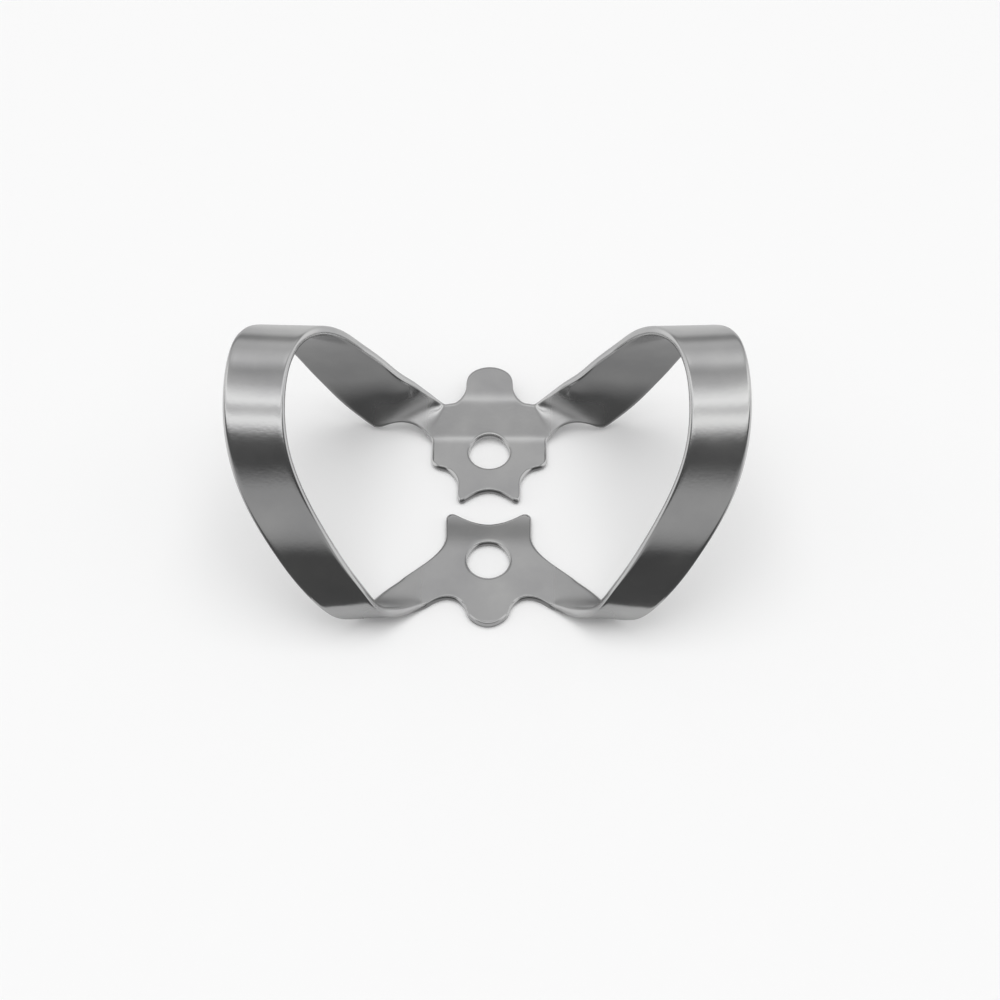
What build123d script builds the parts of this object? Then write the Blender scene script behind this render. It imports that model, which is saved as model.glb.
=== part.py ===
from build123d import *
from math import cos, radians, sin, tan
import os

# Sheet stock; every edge is broken after forming
sheet = 0.55
edge_break = 0.13
mid = sheet / 2

# Forceps hole in each jaw
hole_r = 1.3
hole_y = 4.2

# Front jaw, flat: half sizes across X, places along Y
front_notch_y = -1.5
front_notch_angle = 29
front_prong_in = (1.9, -0.9)
front_prong_tip = (2.4, -0.7)
front_prong_out = (2.7, -1.05)
front_waist = (2.7, -2.4)
front_gap = (2.45, -6.9)
front_tab_side = (1.32, -7.85)
front_tab_angle = 259
front_tab_y = -8.85
arm_lead = 1.3

# Rear jaw: the hole plate is flat, then a ramp, then the raised tab
ramp_y = 4.85
ramp_angle = 25
ramp_r = 1
ramp_run = 2.5
tab_r = 2.4
tab_angle = 5
tab_run = 4
rear_notch_y = 1.15
rear_notch_angle = -37
rear_prong_in = (1.45, 0.5)
rear_prong_tip = (1.76, 0.32)
rear_prong_out = (2.0, 0.62)
rear_waist = (2.0, 1.55)
rear_spur_in = (3.0, 2.95)
rear_spur_angle = 14
rear_spur_tip = (3.5, 3.15)
rear_spur_out = (3.75, 3.55)
rear_side = (3.75, 4.5)
rear_gap = (2.5, 7.52)
rear_tab_side = (1.56, 8.6)
rear_tab_shoulder = (1.36, 9.6)
rear_tab_y = 10.3
rear_span = 12

# Ends of the strip: its centre on each jaw and the way it leaves in plan
arm = (4.6, -6.6, mid)
arm_turn = 40
arm_half = 1.2
neck_x = 3.5
neck_y = 6.5
neck_turn = 25
neck_half = 1.2
neck_strip_half = 1.08
lead = 1.2
trim = 0.3
joint_step = 0.02

# Bow between them, right hand side: strip centre, half width to the tab side, to the prong side
fold = (6.9, -8.75, 1.33), 0.95, 1.28
kick = (8.2, -8.8, 2.9), 1.5, 1.54
leg = (10.5, -7.55, 6.7), 1.64, 1.64
shoulder = (12.5, -5.0, 10.5), 1.7, 1.7
brow = (13.0, -2.1, 13.4), 1.72, 1.72
crown = (12.4, 0.97, 14.72), 1.75, 1.75
nape = (11.1, 3.6, 12.85), 1.8, 1.8
back = (10.2, 5.9, 9.0), 2.1, 2.1
heel = (8.9, 7.0, 5.6), 2.15, 2.27
sole = (6.37, 7.05, 2.27), 2.0, 2.35
stations = [fold, kick, leg, shoulder, brow, crown, nape, back, heel, sole]
section_count = 30

# Round bite in the strip's lower edge, beside the rear neck
bite_r = 2.2
bite_centre = (5.6, 6.33, -1.54)
bite_tilt = 15
bite_depth = 3

# Plan headings: across X and along Y
outward = (1, 0)
inward = (-1, 0)
rearward = (0, 1)
forward = (0, -1)

# An edge this close to an axis, as a cosine, runs along it
along_axis = 0.99

rise = ramp_r * (1 - cos(radians(ramp_angle)))
ramp_foot = ramp_y + ramp_r * sin(radians(ramp_angle))
neck_z = mid + rise + (neck_y - ramp_foot) * tan(radians(ramp_angle))
slope_dir = Vector(0, cos(radians(ramp_angle)), sin(radians(ramp_angle)))
arm_end = Vector(*arm)
arm_dir = Vector(cos(radians(arm_turn)), -sin(radians(arm_turn)), 0)
neck_end = Vector(neck_x, neck_y, neck_z)
neck_dir = Vector(1, 0, 0) * cos(radians(neck_turn)) + slope_dir * sin(radians(neck_turn))


def heading(angle):
    return (cos(radians(angle)), sin(radians(angle)))


def plan(point):
    return (point.X, point.Y)


# Width direction of the strip: X made square to the way the strip runs
def across(run):
    level = Vector(1, 0, 0)
    return (level - run * level.dot(run)).normalized()


# Tab side and prong side corners of a jaw's arm, in plan
def corners(place, run, half):
    return plan(place - across(run) * half), plan(place + across(run) * half)


def front_outline():
    tab_end, prong_end = corners(arm_end, arm_dir, arm_half)
    far_tab, far_prong = corners(arm_end + arm_dir * trim, arm_dir, arm_half)
    lead_in = plan(Vector(*prong_end) - arm_dir * arm_lead)
    notch = heading(front_notch_angle)
    tab = heading(front_tab_angle)
    with BuildLine() as line:
        Spline((0, front_notch_y), front_prong_in, tangents=[outward, notch])
        Spline(front_prong_in, front_prong_tip, front_prong_out, tangents=[notch, forward])
        Line(front_prong_out, front_waist)
        Spline(front_waist, lead_in, tangents=[forward, plan(arm_dir)])
        Polyline(lead_in, far_prong, far_tab, tab_end)
        Spline(tab_end, front_gap, tangents=[plan(-arm_dir), inward])
        Spline(front_gap, front_tab_side, tangents=[inward, tab])
        Spline(front_tab_side, (0, front_tab_y), tangents=[tab, inward])
        mirror(about=Plane.YZ)
    return make_face(line.edges())


def rear_outline():
    tab_end, prong_end = corners(neck_end, neck_dir, neck_half)
    far_tab, far_prong = corners(neck_end + neck_dir * trim, neck_dir, neck_half)
    notch = heading(rear_notch_angle)
    spur = heading(rear_spur_angle)
    with BuildLine() as line:
        Spline((0, rear_notch_y), rear_prong_in, tangents=[outward, notch])
        Spline(rear_prong_in, rear_prong_tip, rear_prong_out, tangents=[notch, rearward])
        Line(rear_prong_out, rear_waist)
        Spline(rear_waist, rear_spur_in, tangents=[rearward, spur])
        Spline(rear_spur_in, rear_spur_tip, rear_spur_out, tangents=[spur, rearward])
        Line(rear_spur_out, rear_side)
        Spline(rear_side, prong_end, tangents=[rearward, plan(neck_dir)])
        Polyline(prong_end, far_prong, far_tab, tab_end)
        Spline(tab_end, rear_gap, tangents=[plan(-neck_dir), inward])
        Spline(rear_gap, rear_tab_side, tangents=[inward, rearward])
        Spline(rear_tab_side, rear_tab_shoulder, (0, rear_tab_y), tangents=[rearward, inward])
        mirror(about=Plane.YZ)
    return make_face(line.edges())


# Side form of the rear jaw: flat, ramp, raised tab
def rear_sheet():
    with BuildPart() as form:
        with BuildSketch(Plane.YZ):
            with BuildLine() as line:
                flat = Line((0, mid), (ramp_y, mid))
                up = JernArc(flat @ 1, (1, 0), ramp_r, ramp_angle)
                ramp = PolarLine(up @ 1, ramp_run, ramp_angle)
                level = JernArc(ramp @ 1, ramp % 1, tab_r, tab_angle - ramp_angle)
                PolarLine(level @ 1, tab_run, tab_angle)
            trace(line.edges(), line_width=sheet)
        extrude(amount=rear_span / 2, both=True)
    return form.part


# Edges that run round the outline, not the bends or upright corners
def is_rim(edge):
    along = edge % 0.5
    bend = edge.geom_type == GeomType.LINE and abs(along.X) > along_axis
    upright = abs(along.Z) > along_axis
    return not (bend or upright)


# Right half of a jaw, cut square where the strip begins and drilled
def half_jaw(jaw, y, place, run):
    jaw = split(jaw, bisect_by=Plane(origin=place, z_dir=run), keep=Keep.BOTTOM)
    jaw -= Pos(0, y, mid) * Cylinder(hole_r, 2 * sheet)
    return split(jaw, bisect_by=Plane.YZ, keep=Keep.TOP)


def broken(blank):
    return chamfer([edge for edge in blank.edges() if is_rim(edge)], edge_break)


def front_jaw():
    blank = extrude(front_outline(), amount=sheet)
    return half_jaw(broken(blank), -hole_y, arm_end, arm_dir)


def rear_jaw():
    blank = rear_sheet() & extrude(rear_outline(), amount=rear_span / 2)
    return half_jaw(broken(blank), hole_y, neck_end, neck_dir)


# Strip section with broken corners; an end section is a hair smaller than the jaw's
def section(place, run, tab, prong, inset=0):
    frame = Plane(origin=place + across(run) * (prong - tab) / 2, x_dir=across(run), z_dir=run)
    strip = Rectangle(tab + prong - 2 * inset, sheet - inset)
    return frame * chamfer(strip.vertices(), edge_break)


# Half widths of the strip, eased from one station to the next
def halves(share, shares, knots):
    span = max(k for k, start in enumerate(shares[:-1]) if start <= share)
    part = (share - shares[span]) / (shares[span + 1] - shares[span])
    ease = part * part * (3 - 2 * part)
    return [a + (b - a) * ease for a, b in zip(knots[span][1:], knots[span + 1][1:])]


def bow():
    knots = [(arm, arm_half, arm_half), *stations, (tuple(neck_end), neck_strip_half, neck_strip_half)]
    places = [Vector(*place) for place, tab, prong in knots]
    path = Spline(arm_end - arm_dir * lead, *places, neck_end - neck_dir * lead)
    shares = [path.param_at_point(place) for place in places]
    sections = [section(arm_end, arm_dir, arm_half, arm_half, joint_step)]
    for k in range(1, section_count):
        share = shares[0] + (shares[-1] - shares[0]) * k / section_count
        tab, prong = halves(share, shares, knots)
        sections.append(section(path @ share, path % share, tab, prong))
    sections.append(section(neck_end, -neck_dir, neck_strip_half, neck_strip_half, joint_step))
    return loft(sections)


def bite():
    tilt = Vector(0, cos(radians(bite_tilt)), -sin(radians(bite_tilt)))
    return Plane(origin=bite_centre, z_dir=tilt) * Cylinder(bite_r, bite_depth)


half = front_jaw() + bow() + rear_jaw() - bite()
clamp = half + mirror(half, about=Plane.YZ)

# Origin in the middle of the foot of the clamp's box
box = clamp.bounding_box()
clamp = Pos(0, -box.center().Y, -box.min.Z) * clamp

os.makedirs("parts", exist_ok=True)
export_step(clamp, "parts/clamp.step")
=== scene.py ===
import math

import bmesh
import bpy
import numpy as np
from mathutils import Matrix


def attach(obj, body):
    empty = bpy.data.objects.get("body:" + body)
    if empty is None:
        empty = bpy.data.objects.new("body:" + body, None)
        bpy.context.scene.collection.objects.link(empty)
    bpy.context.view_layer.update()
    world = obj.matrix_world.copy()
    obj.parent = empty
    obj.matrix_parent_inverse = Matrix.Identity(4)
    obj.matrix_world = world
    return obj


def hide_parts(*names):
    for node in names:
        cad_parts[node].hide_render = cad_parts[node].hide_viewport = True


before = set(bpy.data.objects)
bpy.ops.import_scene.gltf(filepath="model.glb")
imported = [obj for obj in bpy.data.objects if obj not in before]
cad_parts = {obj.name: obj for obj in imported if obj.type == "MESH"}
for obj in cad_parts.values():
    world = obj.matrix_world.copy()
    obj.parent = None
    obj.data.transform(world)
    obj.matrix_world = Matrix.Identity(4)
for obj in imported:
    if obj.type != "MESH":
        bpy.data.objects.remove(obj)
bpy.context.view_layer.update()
print("frame loaded")

mm = 0.001

# sheet stock and the place of the CAD origin, in mm
sheet = {
    "thick": 0.55,
    "border": 0.2,         # first and last cell of every grid row; it sets the rounding of the edges
    "smoothing": 1,
    "spacing": 0.13,       # places along an outline, with at least four cells to a line
    "leastCells": 4,
    "weld": 0.006,
    "origin": (0, -0.5337, 0.0099),
}
middle = sheet["thick"] / 2


def heading(degrees):
    return np.array((math.cos(math.radians(degrees)), math.sin(math.radians(degrees))))


def unit(vectors):
    return vectors / np.linalg.norm(vectors, axis=-1, keepdims=True)


# Smooth line through knots: cubic pieces over the chord lengths, with equal bending on both
# sides of every knot and given headings at the ends. Returns points and headings.
def smoothLine(knots, first, last, count):
    knots = np.asarray(knots, float)
    gaps = np.linalg.norm(np.diff(knots, axis=0), axis=1)
    size = len(knots)
    slopes = np.diff(knots, axis=0) / gaps[:, None]
    system = np.eye(size)
    target = np.zeros_like(knots)
    target[0], target[-1] = first, last
    inner = np.arange(1, size - 1)
    system[inner, inner - 1] = 1 / gaps[:-1]
    system[inner, inner] = 2 / gaps[:-1] + 2 / gaps[1:]
    system[inner, inner + 1] = 1 / gaps[1:]
    target[1:-1] = 3 * (slopes[:-1] / gaps[:-1, None] + slopes[1:] / gaps[1:, None])
    speeds = np.linalg.solve(system, target)
    marks = np.concatenate(([0], np.cumsum(gaps)))
    along = np.linspace(0, marks[-1], count)
    k = np.clip(np.searchsorted(marks, along, side="right") - 1, 0, size - 2)
    h = gaps[k][:, None]
    t = (along - marks[k])[:, None] / h
    a, b, va, vb = knots[k], knots[k + 1], speeds[k] * h, speeds[k + 1] * h
    points = (2 * t**3 - 3 * t**2 + 1) * a + (t**3 - 2 * t**2 + t) * va
    points += (3 * t**2 - 2 * t**3) * b + (t**3 - t**2) * vb
    runs = 6 * (t**2 - t) * (a - b) + (3 * t**2 - 4 * t + 1) * va + (3 * t**2 - 2 * t) * vb
    return points, unit(runs), along / marks[-1], marks / marks[-1]


# Places from 0 to length, with a narrow cell at both ends and even cells between them
def cells(length, count):
    edge = np.broadcast_to(sheet["border"], np.shape(length)) / length
    share = np.linspace(0, 1, count - 1)
    between = edge[..., None] + (1 - 2 * edge[..., None]) * share
    ends = np.zeros(np.shape(length) + (1,))
    return np.concatenate((ends, between, ends + 1), axis=-1)


outward, inward, rearward, forward = heading(0), heading(180), heading(90), heading(-90)

strip = {
    "columns": 9,
    "rows": 150,
    "drawPasses": 30, "layUntil": 0.5, "layFade": 0.2, "twistRun": 4.0, "profileSteps": 50,
    "arm": (4.6, -6.6, middle), "armTurn": 40, "armHalf": 1.2,
    "neckX": 3.5, "neckY": 6.5, "neckTurn": 25, "neckHalf": 1.2,
    # centre of the strip, half width to the tab side and to the prong side
    "stations": [
        ((5.67, -7.5, 0.31), 1.1, 1.2),     # toe
        ((6.9, -8.75, 1.33), 0.75, 1.28),   # fold
        ((8.2, -8.8, 2.9), 1.5, 1.54),      # kick
        ((10.5, -7.55, 6.7), 1.64, 1.64),   # leg
        ((12.5, -5.0, 10.5), 1.7, 1.7),     # shoulder
        ((12.98, -2.1, 13.4), 1.72, 1.72),  # brow
        ((12.4, 0.97, 14.72), 1.75, 1.75),  # crown
        ((11.1, 3.6, 12.85), 1.8, 1.8),     # nape
        ((10.2, 5.9, 9.0), 2.2, 2.1),       # back
        ((8.9, 7.0, 5.6), 2.35, 2.35),      # heel
        ((6.37, 7.05, 2.27), 2.12, 2.46),   # sole
    ],
    "biteRadius": 2.32, "biteCentre": (5.6, 6.33, -1.54), "biteTilt": 15,
    "biteSteps": 90, "biteFront": -4,   # samples across a row, and how far before its centre the bite acts
}

frontJaw = {
    "holeRadius": 1.3, "holeY": -4.2, "rings": 9,
    "notchY": -1.5, "notchAngle": 29,
    "prong": [(1.9, -0.9), (2.4, -0.7), (2.7, -1.05)],
    "waist": (2.7, -2.4), "armLead": 1.3,
    "gap": (2.45, -6.9), "tabSide": (1.32, -7.85), "tabAngle": 259, "tabY": -8.85,
}

rearJaw = {
    "holeRadius": 1.3, "holeY": 4.2, "rings": 18, "heightSteps": 4000,
    "rampY": 4.58, "rampAngle": 25, "rampBend": 2.2, "rampRun": 2.234,
    "tabBend": 2.4, "tabAngle": 5,
    "notchY": 1.15, "notchAngle": -37,
    "prong": [(1.45, 0.5), (1.76, 0.32), (2.0, 0.62)],
    "waist": (2.0, 1.55), "spurAngle": 14,
    "spur": [(3.0, 2.95), (3.5, 3.15), (3.75, 3.55)],
    "side": (3.75, 4.5),
    "gap": (2.5, 7.52), "tabSide": [(1.56, 8.6), (1.36, 9.6)], "tabY": 10.26,
}


# Side form of the rear jaw: the slope angle goes 0, ramp, tab along the sheet, each change over
# a bend of constant radius; height is the running sum of the slope's sine.
def rearHeight(y):
    bendA = rearJaw["rampBend"] * math.radians(rearJaw["rampAngle"])
    bendB = rearJaw["tabBend"] * math.radians(rearJaw["rampAngle"] - rearJaw["tabAngle"])
    marks = np.cumsum([rearJaw["rampY"], bendA, rearJaw["rampRun"], bendB, rearJaw["tabY"]])
    angles = [0, rearJaw["rampAngle"], rearJaw["rampAngle"], rearJaw["tabAngle"], rearJaw["tabAngle"]]
    s = np.linspace(0, marks[-1], rearJaw["heightSteps"])
    angle = np.radians(np.interp(s, marks, angles))
    step = s[1]
    ys = np.concatenate(([0], np.cumsum(np.cos(angle[:-1]) * step)))
    zs = np.concatenate(([0], np.cumsum(np.sin(angle[:-1]) * step)))
    return middle + np.interp(y, ys, zs)


# Width direction of the strip: X made square to the way the strip runs
def across(runs):
    level = np.array((1.0, 0, 0))
    return unit(level - runs * (runs @ level)[..., None])


armPlace = np.array(strip["arm"])
armRun = np.append(heading(-strip["armTurn"]), 0)
neckPlace = np.array((strip["neckX"], strip["neckY"], float(rearHeight(strip["neckY"]))))
ramp = math.radians(rearJaw["rampAngle"])
neckPlan = heading(strip["neckTurn"])
neckRun = np.array((neckPlan[0], neckPlan[1] * math.cos(ramp), neckPlan[1] * math.sin(ramp)))


# Row of places across the strip, from the tab side to the prong side
def stripRow(places, runs, tab, prong):
    share = cells(np.asarray(tab + prong), strip["columns"])
    reach = -np.asarray(tab)[..., None] + share * np.asarray(tab + prong)[..., None]
    return places[..., None, :] + reach[..., None] * across(runs)[..., None, :]


# Width directions along the bow: square to X until the last stretch, where the strip twists
# evenly from its own lean to that of the rear jaw's ramp.
def rowSides(runs, length):
    sides = across(runs)
    toEnd = np.linspace(length, 0, len(runs))
    first = np.argmax(toEnd < strip["twistRun"])
    q = np.clip(1 - toEnd / strip["twistRun"], 0, 1)[:, None]
    q = q * q * (3 - 2 * q)
    turned = sides[first] * (1 - q) + across(-neckRun) * q
    turned = unit(turned - runs * np.sum(turned * runs, axis=1)[:, None])
    return np.where(q > 0, turned, sides)


# Up to the crown the sheet is bent about lines along X, so its side profile is one curve: the flat
# front jaw, then the smooth line of the bow. A row across the strip is laid along that curve:
# each place slides by its reach times the row's lean along the profile.
def wrapped(places, runs, reach):
    length = np.sum(np.linalg.norm(np.diff(places, axis=0), axis=1))
    side = rowSides(runs, length)
    lean = np.sum(side[:, 1:] * unit(runs[:, 1:]), axis=1)
    flatY = np.linspace(0, strip["arm"][1], strip["profileSteps"])[:-1]
    profile = np.concatenate((
        np.stack((flatY, np.full_like(flatY, middle)), axis=1),
        places[:, 1:],
    ))
    marks = np.concatenate(([0], np.cumsum(np.linalg.norm(np.diff(profile, axis=0), axis=1))))
    own = marks[len(flatY):]
    slid = own[:, None] + reach * lean[:, None]
    x = places[:, :1] + reach * side[:, :1]
    y, z = [np.interp(slid, marks, profile[:, k]) for k in (0, 1)]
    laid = np.stack((x, y, z), axis=-1)
    straight = places[:, None, :] + reach[..., None] * side[:, None, :]
    # past the crown every row is straight
    share = np.linspace(0, 1, len(places))
    past = np.clip((share - strip["layUntil"]) / strip["layFade"], 0, 1)[:, None, None]
    ease = 1 - past * past * (3 - 2 * past)
    return straight * (1 - ease) + laid * ease


# Reach from the strip's centre to the round bite: where each row first comes within the bite's
# radius of the bite's axis, found between two samples by straight proportion.
def biteReach(places, runs, prong):
    tilt = math.radians(strip["biteTilt"])
    axis = np.array((0, math.cos(tilt), -math.sin(tilt)))
    reach = np.linspace(0, 1, strip["biteSteps"]) * prong[:, None]
    start = wrapped(places, runs, reach) - np.array(strip["biteCentre"])
    away = np.linalg.norm(start - (start @ axis)[..., None] * axis, axis=-1)
    inside = (away < strip["biteRadius"]) & (start[..., 1] > strip["biteFront"])
    hit = np.maximum(np.argmax(inside, axis=1), 1)
    rows = np.arange(len(places))
    before, after = away[rows, hit - 1], away[rows, hit]
    part = np.clip((before - strip["biteRadius"]) / np.maximum(before - after, 1e-9), 0, 1)
    cut = reach[rows, hit - 1] + part * (reach[rows, hit] - reach[rows, hit - 1])
    return np.where(inside.any(axis=1), cut, prong)


# Bow: rows laid across the smooth line through the stations, the half widths eased from
# station to station and the prong side cut back to the bite.
def bowGrid():
    stations = strip["stations"]
    knots = [armPlace, *[np.array(place) for place, tab, prong in stations], neckPlace]
    halves = np.array([(strip["armHalf"],) * 2, *[s[1:] for s in stations], (strip["neckHalf"],) * 2])
    places, runs, along, marks = smoothLine(knots, armRun, -neckRun, strip["rows"])
    k = np.clip(np.searchsorted(marks, along, side="right") - 1, 0, len(marks) - 2)
    t = (along - marks[k]) / (marks[k + 1] - marks[k])
    ease = (t * t * (3 - 2 * t))[:, None]
    tab, prong = (halves[k] * (1 - ease) + halves[k + 1] * ease).T
    prong = biteReach(places, runs, prong)
    reach = -tab[:, None] + cells(tab + prong, strip["columns"]) * (tab + prong)[:, None]
    grid = wrapped(places, runs, reach)
    grid[0] = stripRow(armPlace, armRun, strip["armHalf"], strip["armHalf"])
    grid[-1] = stripRow(neckPlace, neckRun, strip["neckHalf"], strip["neckHalf"])
    # rows crowd on the tab side of the tight turns: each place there is drawn towards its neighbours
    pull = np.linspace(1, 0, grid.shape[1])[:, None] / 2
    for step in range(strip["drawPasses"]):
        grid[1:-1] += pull * ((grid[:-2] + grid[2:]) / 2 - grid[1:-1])
    return grid


# Jaw: straight spokes from the hole's rim to the outline, with a height for every plan place;
# the rim's angles are halfway between the outline's own angles and even steps.
def jawGrid(jaw, outline, height):
    centre = np.array((0, jaw["holeY"]))
    rays = outline - centre
    angles = np.unwrap(np.arctan2(rays[:, 1], rays[:, 0]))
    angles = (angles + np.linspace(angles[0], angles[-1], len(angles))) / 2
    rim = centre + jaw["holeRadius"] * np.stack((np.cos(angles), np.sin(angles)), axis=1)
    spokes = outline - rim
    share = cells(np.linalg.norm(spokes, axis=1), jaw["rings"])
    plan = rim[:, None, :] + spokes[:, None, :] * share[..., None]
    return np.concatenate((plan, height(plan[..., 1])[..., None]), axis=2)


def joined(pieces):
    return np.concatenate([pieces[0]] + [piece[1:] for piece in pieces[1:]])


def lineThrough(knots, first, last):
    length = np.sum(np.linalg.norm(np.diff(np.asarray(knots, float), axis=0), axis=1))
    count = max(int(length / sheet["spacing"]), sheet["leastCells"]) + 1
    return smoothLine(knots, first, last, count)[0]


def frontOutline():
    jaw = frontJaw
    end = stripRow(armPlace, armRun, strip["armHalf"], strip["armHalf"])[::-1, :2]
    lead = end[0] - armRun[:2] * jaw["armLead"]
    notch, tab = heading(jaw["notchAngle"]), heading(jaw["tabAngle"])
    return joined([
        lineThrough([(0, jaw["notchY"]), jaw["prong"][0]], outward, notch),
        lineThrough(jaw["prong"], notch, forward),
        lineThrough([jaw["prong"][2], jaw["waist"]], forward, forward),
        lineThrough([jaw["waist"], lead], forward, armRun[:2]),
        lineThrough([lead, end[0]], armRun[:2], armRun[:2]),
        end,
        lineThrough([end[-1], jaw["gap"]], -armRun[:2], inward),
        lineThrough([jaw["gap"], jaw["tabSide"]], inward, tab),
        lineThrough([jaw["tabSide"], (0, jaw["tabY"])], tab, inward),
    ])


def rearOutline():
    jaw = rearJaw
    end = stripRow(neckPlace, neckRun, strip["neckHalf"], strip["neckHalf"])[::-1, :2]
    notch, spur = heading(jaw["notchAngle"]), heading(jaw["spurAngle"])
    neckWay = unit(neckRun[:2])
    return joined([
        lineThrough([(0, jaw["notchY"]), jaw["prong"][0]], outward, notch),
        lineThrough(jaw["prong"], notch, rearward),
        lineThrough([jaw["prong"][2], jaw["waist"]], rearward, rearward),
        lineThrough([jaw["waist"], jaw["spur"][0]], rearward, spur),
        lineThrough(jaw["spur"], spur, rearward),
        lineThrough([jaw["spur"][2], jaw["side"]], rearward, rearward),
        lineThrough([jaw["side"], end[0]], rearward, neckWay),
        end,
        lineThrough([end[-1], jaw["gap"]], -neckWay, inward),
        lineThrough([jaw["gap"], jaw["tabSide"][0]], inward, rearward),
        lineThrough([*jaw["tabSide"], (0, jaw["tabY"])], rearward, inward),
    ])


# Quads of a grid of rows and columns, as vertex numbers from a given first number
def gridFaces(rows, columns, first):
    number = first + np.arange(rows * columns).reshape(rows, columns)
    corners = (number[:-1, :-1], number[1:, :-1], number[1:, 1:], number[:-1, 1:])
    return np.stack(corners, axis=-1).reshape(-1, 4)


# Middle layer of the whole sheet: the three grids and their mirror images, welded where they meet
def sheetLayer(name, grids):
    points, faces, first = [], [], 0
    for grid in grids:
        flipped = grid * np.array((-1, 1, 1))
        for side, turn in ((grid, 1), (flipped, -1)):
            points.append(side.reshape(-1, 3))
            faces.append(gridFaces(grid.shape[0], grid.shape[1], first)[:, ::turn])
            first += grid.shape[0] * grid.shape[1]
    points = (np.concatenate(points) + np.array(sheet["origin"])) * mm
    mesh = bpy.data.meshes.new(name)
    mesh.from_pydata(points.tolist(), [], np.concatenate(faces).tolist())
    work = bmesh.new()
    work.from_mesh(mesh)
    bmesh.ops.remove_doubles(work, verts=work.verts, dist=sheet["weld"] * mm)
    bmesh.ops.recalc_face_normals(work, faces=work.faces)
    work.to_mesh(mesh)
    work.free()
    mesh.shade_smooth()
    piece = bpy.data.objects.new(name, mesh)
    bpy.context.collection.objects.link(piece)
    return piece


def frontHeight(y):
    return np.full_like(y, middle)


def clampSheet():
    grids = [
        jawGrid(frontJaw, frontOutline(), frontHeight),
        bowGrid(),
        jawGrid(rearJaw, rearOutline(), rearHeight),
    ]
    piece = sheetLayer("clampSheet", grids)
    wall = piece.modifiers.new("thickness", "SOLIDIFY")
    wall.thickness = sheet["thick"] * mm
    wall.offset = 0
    wall.use_even_offset = True
    wall.use_quality_normals = True
    tumbled = piece.modifiers.new("tumbledEdges", "SUBSURF")
    tumbled.levels = sheet["smoothing"]
    tumbled.render_levels = sheet["smoothing"]
    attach(piece, "root")
    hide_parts("clamp")
    return piece


# Maths node in a node tree; each input is a socket to link or a plain number
def mathNode(tree, operation, *inputs):
    node = tree.nodes.new("ShaderNodeMath")
    node.operation = operation
    for socket, value in zip(node.inputs, inputs):
        if isinstance(value, bpy.types.NodeSocket):
            tree.links.new(value, socket)
        else:
            socket.default_value = value
    return node.outputs[0]


# Map Range node: a socket's value taken from one span to another
def rangeNode(tree, value, span, target=(0, 1), kind="LINEAR"):
    node = tree.nodes.new("ShaderNodeMapRange")
    node.interpolation_type = kind
    for name, number in zip(("From Min", "From Max", "To Min", "To Max"), (*span, *target)):
        node.inputs[name].default_value = number
    tree.links.new(value, node.inputs["Value"])
    return node.outputs["Result"]


satin = {
    "tone": (0.68, 0.68, 0.675), "toneDark": (0.555, 0.555, 0.56),
    "rough": (0.1, 0.17),
    "cloudScale": 260, "cloudDetail": 4, "cloudSpan": (0.3, 0.7),
    "grainScale": 5200, "grainDetail": 2, "grainDepth": 0.012, "grainStrength": 0.12,
    # bends beside the jaws, worked hardest and left more matt: how the roughness comes in across,
    # goes out across and goes out with height, and how much is added
    "workedFrom": (3.3, 4.5), "workedTo": (8.6, 6.8), "workedHigh": (3.4, 2.0), "workedRough": 0.2,
    # hollow grinding of the front jaw: where it starts and ends, its bend per mm, and the height
    # it stays under
    "hollowY": -4.4, "hollowEnd": -0.7, "hollowBend": 0.055, "hollowTop": 1.0,
}


# Share of the worked bends: three smooth fades multiplied together
def workedShare(tree, parts):
    away = mathNode(tree, "ABSOLUTE", parts.outputs["X"])
    fades = []
    for source, key in ((away, "workedFrom"), (away, "workedTo"), (parts.outputs["Z"], "workedHigh")):
        span = [value * mm for value in satin[key]]
        fades.append(rangeNode(tree, source, span, kind="SMOOTHSTEP"))
    return mathNode(tree, "MULTIPLY", mathNode(tree, "MULTIPLY", fades[0], fades[1]), fades[2])


# Hollow of the front jaw: height is minus the bend times the square of the distance from its start
def hollowHeight(tree, parts):
    start, end = satin["hollowY"] * mm, satin["hollowEnd"] * mm
    reach = rangeNode(tree, parts.outputs["Y"], (start, end), (0, end - start))
    fall = mathNode(tree, "MULTIPLY", mathNode(tree, "POWER", reach, 2), -satin["hollowBend"] / mm)
    low = mathNode(tree, "LESS_THAN", parts.outputs["Z"], satin["hollowTop"] * mm)
    fore = mathNode(tree, "LESS_THAN", parts.outputs["Y"], end)
    return mathNode(tree, "MULTIPLY", fall, mathNode(tree, "MULTIPLY", low, fore))


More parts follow.
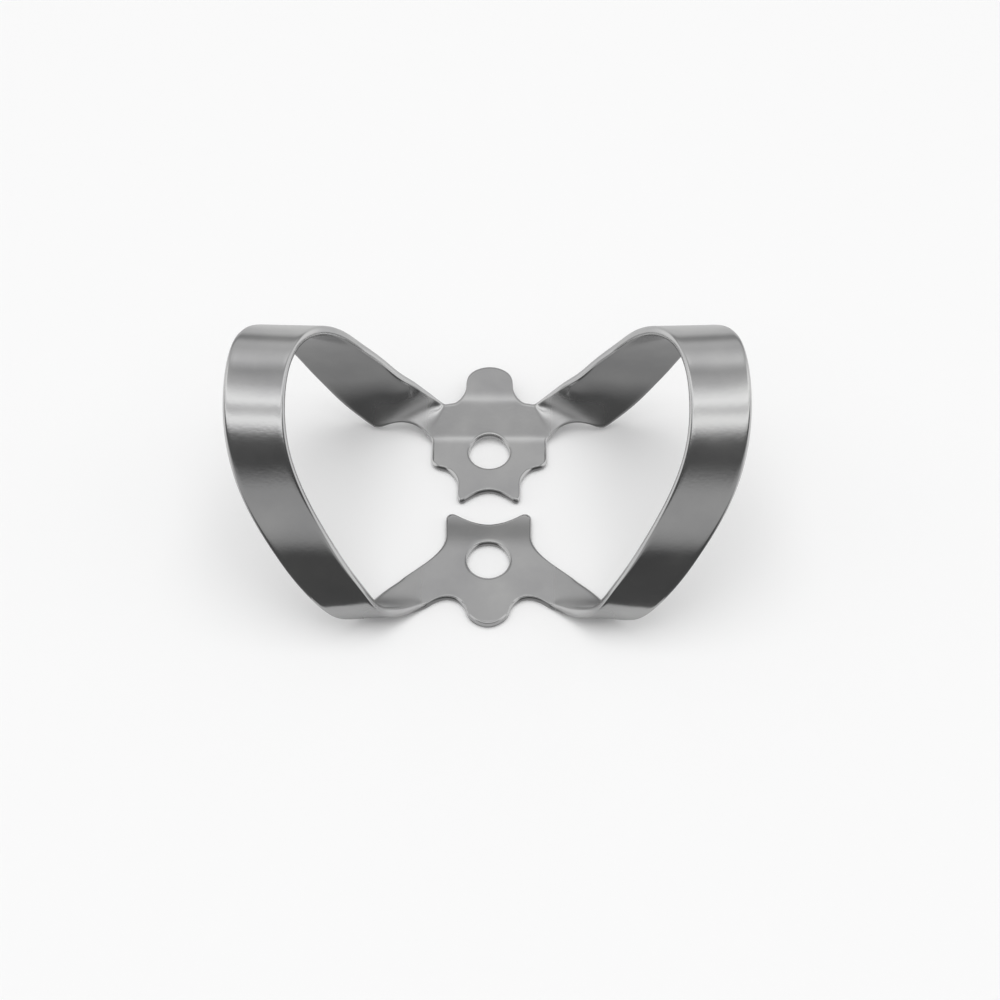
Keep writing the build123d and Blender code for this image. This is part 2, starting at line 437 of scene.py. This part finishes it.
def satinSteel():
    material = bpy.data.materials.new("satinSteel")
    material.use_nodes = True
    tree = material.node_tree
    nodes, links = tree.nodes, tree.links
    shader = nodes["Principled BSDF"]
    shader.inputs["Metallic"].default_value = 1
    place = nodes.new("ShaderNodeTexCoord")
    parts = nodes.new("ShaderNodeSeparateXYZ")
    links.new(place.outputs["Object"], parts.inputs["Vector"])
    # slow clouds left by tumbling, in tone and gloss
    cloud = nodes.new("ShaderNodeTexNoise")
    cloud.inputs["Scale"].default_value = satin["cloudScale"]
    cloud.inputs["Detail"].default_value = satin["cloudDetail"]
    links.new(place.outputs["Object"], cloud.inputs["Vector"])
    patches = rangeNode(tree, cloud.outputs["Fac"], satin["cloudSpan"])
    tone = nodes.new("ShaderNodeMix")
    tone.data_type = "RGBA"
    tone.inputs["A"].default_value = (*satin["toneDark"], 1)
    tone.inputs["B"].default_value = (*satin["tone"], 1)
    links.new(patches, tone.inputs["Factor"])
    links.new(tone.outputs["Result"], shader.inputs["Base Color"])
    gloss = rangeNode(tree, patches, (0, 1), satin["rough"])
    rough = mathNode(tree, "MULTIPLY_ADD", workedShare(tree, parts), satin["workedRough"], gloss)
    links.new(rough, shader.inputs["Roughness"])
    # fine grain of the blasted sheet, on top of the hollow
    dish = nodes.new("ShaderNodeBump")
    dish.inputs["Distance"].default_value = 1
    links.new(hollowHeight(tree, parts), dish.inputs["Height"])
    grain = nodes.new("ShaderNodeTexNoise")
    grain.inputs["Scale"].default_value = satin["grainScale"]
    grain.inputs["Detail"].default_value = satin["grainDetail"]
    links.new(place.outputs["Object"], grain.inputs["Vector"])
    bump = nodes.new("ShaderNodeBump")
    bump.inputs["Strength"].default_value = satin["grainStrength"]
    bump.inputs["Distance"].default_value = satin["grainDepth"] * mm
    links.new(grain.outputs["Fac"], bump.inputs["Height"])
    links.new(dish.outputs["Normal"], bump.inputs["Normal"])
    links.new(bump.outputs["Normal"], shader.inputs["Normal"])
    return material


clamp = clampSheet()
clamp.data.materials.append(satinSteel())
print("clamp sheet made")

studio = {
    "floorHalf": 2000, "floorTone": (0.92, 0.92, 0.92),
    # grey card for the painted reflection in the folds, darker than the pale floor: half its width, its
    # near and far edges and its height
    "card": (12, -13.0, -8.8, 0.02), "paintedReflectionTone": (0.55, 0.55, 0.55),
    "paperRough": 0.9,
    "lampPower": 1.88, "lampSize": 0.5, "lampHeight": 0.6,
    # brightness of the room by elevation in degrees, on the camera's side and behind the clamp
    "front": [
        (-90, 0.3), (-57, 0.29), (-49, 0.2), (-43, 0.09), (-5, 0.075), (2, 0.34), (8, 0.42),
        (22, 0.42), (27.5, 0.08), (38, 0.1), (42.5, 1.1), (45, 1.4), (48, 0.62), (50.5, 0.58),
        (53, 1.35), (57, 1.05), (64, 0.6), (75, 0.42), (82, 0.56), (87, 0.8), (90, 0.85),
    ],
    "rear": [
        (-90, 0.3), (-70, 0.34), (-60, 0.6), (-20, 0.68), (12, 0.62), (22, 0.46), (28, 0.32),
        (37, 0.34), (46, 0.52), (52, 0.58), (66, 0.57), (76, 0.66), (84, 0.82), (90, 0.85),
    ],
    "behind": (-0.25, 0.25),
    # a pale wall on either hand, for the cut edges, and where it comes in
    "side": 0.85, "sideFrom": (0.6, 0.85),
}


# Flat sheet of plain paper on the stage: its X and Y spans and its height, in mm
def paper(name, materialName, tone, x, near, far, z):
    corners = np.array([(-x, near, z), (x, near, z), (x, far, z), (-x, far, z)]) * mm
    mesh = bpy.data.meshes.new(name)
    mesh.from_pydata(corners.tolist(), [], [(0, 1, 2, 3)])
    piece = bpy.data.objects.new(name, mesh)
    bpy.context.collection.objects.link(piece)
    material = bpy.data.materials.new(materialName)
    material.use_nodes = True
    shader = material.node_tree.nodes["Principled BSDF"]
    shader.inputs["Base Color"].default_value = (*tone, 1)
    shader.inputs["Roughness"].default_value = studio["paperRough"]
    mesh.materials.append(material)
    return piece


def floor():
    half = studio["floorHalf"]
    piece = paper("floor", "paleFloor", studio["floorTone"], half, -half, half, 0)
    piece.visible_glossy = False


# Grey card on the floor before the folds, seen by the metal only: a painted reflection, darker than the
# pale floor, in the folds
def paintedReflectionCard():
    piece = paper("paintedReflectionCard", "paintedReflectionGrey", studio["paintedReflectionTone"], *studio["card"])
    # hidden from the camera, from diffuse light and from shadows, so it only paints the darker reflection
    piece.visible_camera = False
    piece.visible_diffuse = False
    piece.visible_shadow = False


# Room light by elevation: the direction's height gives an angle, and a ramp gives its brightness
def room():
    world = bpy.data.worlds.new("room")
    bpy.context.scene.world = world
    world.use_nodes = True
    tree = world.node_tree
    nodes, links = tree.nodes, tree.links
    place = nodes.new("ShaderNodeTexCoord")
    parts = nodes.new("ShaderNodeSeparateXYZ")
    links.new(place.outputs["Generated"], parts.inputs["Vector"])
    angle = mathNode(tree, "ARCSINE", parts.outputs["Z"])
    share = rangeNode(tree, angle, (-math.pi / 2, math.pi / 2))
    blend = nodes.new("ShaderNodeMix")
    blend.data_type = "RGBA"
    for side, socket in (("front", "A"), ("rear", "B")):
        grade = nodes.new("ShaderNodeValToRGB")
        stops = grade.color_ramp.elements
        for degrees, level in studio[side][1:-1]:
            stops.new((degrees + 90) / 180)
        for stop, (degrees, level) in zip(stops, studio[side]):
            stop.position = (degrees + 90) / 180
            stop.color = (level, level, level, 1)
        links.new(share, grade.inputs["Fac"])
        links.new(grade.outputs["Color"], blend.inputs[socket])
    behind = rangeNode(tree, parts.outputs["Y"], studio["behind"], kind="SMOOTHSTEP")
    links.new(behind, blend.inputs["Factor"])
    hand = mathNode(tree, "ABSOLUTE", parts.outputs["X"])
    walls = nodes.new("ShaderNodeMix")
    walls.data_type = "RGBA"
    walls.inputs["B"].default_value = (studio["side"],) * 3 + (1,)
    links.new(rangeNode(tree, hand, studio["sideFrom"], kind="SMOOTHSTEP"), walls.inputs["Factor"])
    links.new(blend.outputs["Result"], walls.inputs["A"])
    links.new(walls.outputs["Result"], nodes["Background"].inputs["Color"])


def lamp():
    light = bpy.data.lights.new("overhead", "AREA")
    light.energy = studio["lampPower"]
    light.size = studio["lampSize"]
    piece = bpy.data.objects.new("overhead", light)
    piece.location = (0, 0, studio["lampHeight"])
    piece.visible_glossy = False
    bpy.context.collection.objects.link(piece)


floor()
paintedReflectionCard()
room()
lamp()
print("studio set")

# camera from the photograph: where it aims, how it stands, and where the aim falls in the picture
view = {
    "elevation": 54.3, "turn": 1.0, "roll": -0.7,
    "distance": 94.1, "lens": 53.3, "sensor": 36, "nearest": 5,
    "aimPixel": (488.8, 506.5), "picture": 1000,
}


def camera():
    data = bpy.data.cameras.new("camera")
    data.sensor_width = view["sensor"]
    data.lens = view["lens"]
    data.shift_x = 0.5 - view["aimPixel"][0] / view["picture"]
    data.shift_y = view["aimPixel"][1] / view["picture"] - 0.5
    data.clip_start = view["nearest"] * mm
    piece = bpy.data.objects.new("camera", data)
    e, turn, roll = [math.radians(view[key]) for key in ("elevation", "turn", "roll")]
    right = np.array((math.cos(turn), math.sin(turn), 0))
    back = np.array((math.sin(turn) * math.cos(e), -math.cos(turn) * math.cos(e), math.sin(e)))
    up = np.cross(back, right)
    axisX = right * math.cos(roll) + up * math.sin(roll)
    axisY = up * math.cos(roll) - right * math.sin(roll)
    aim = (np.array(sheet["origin"]) + (0, 0, middle)) * mm
    turned = np.eye(4)
    turned[:3, :3] = np.stack((axisX, axisY, back), axis=1)
    turned[:3, 3] = aim + back * view["distance"] * mm
    piece.matrix_world = turned.T.tolist()
    bpy.context.collection.objects.link(piece)
    bpy.context.scene.camera = piece


camera()
bpy.context.scene.view_settings.view_transform = "Standard"
print("camera set")
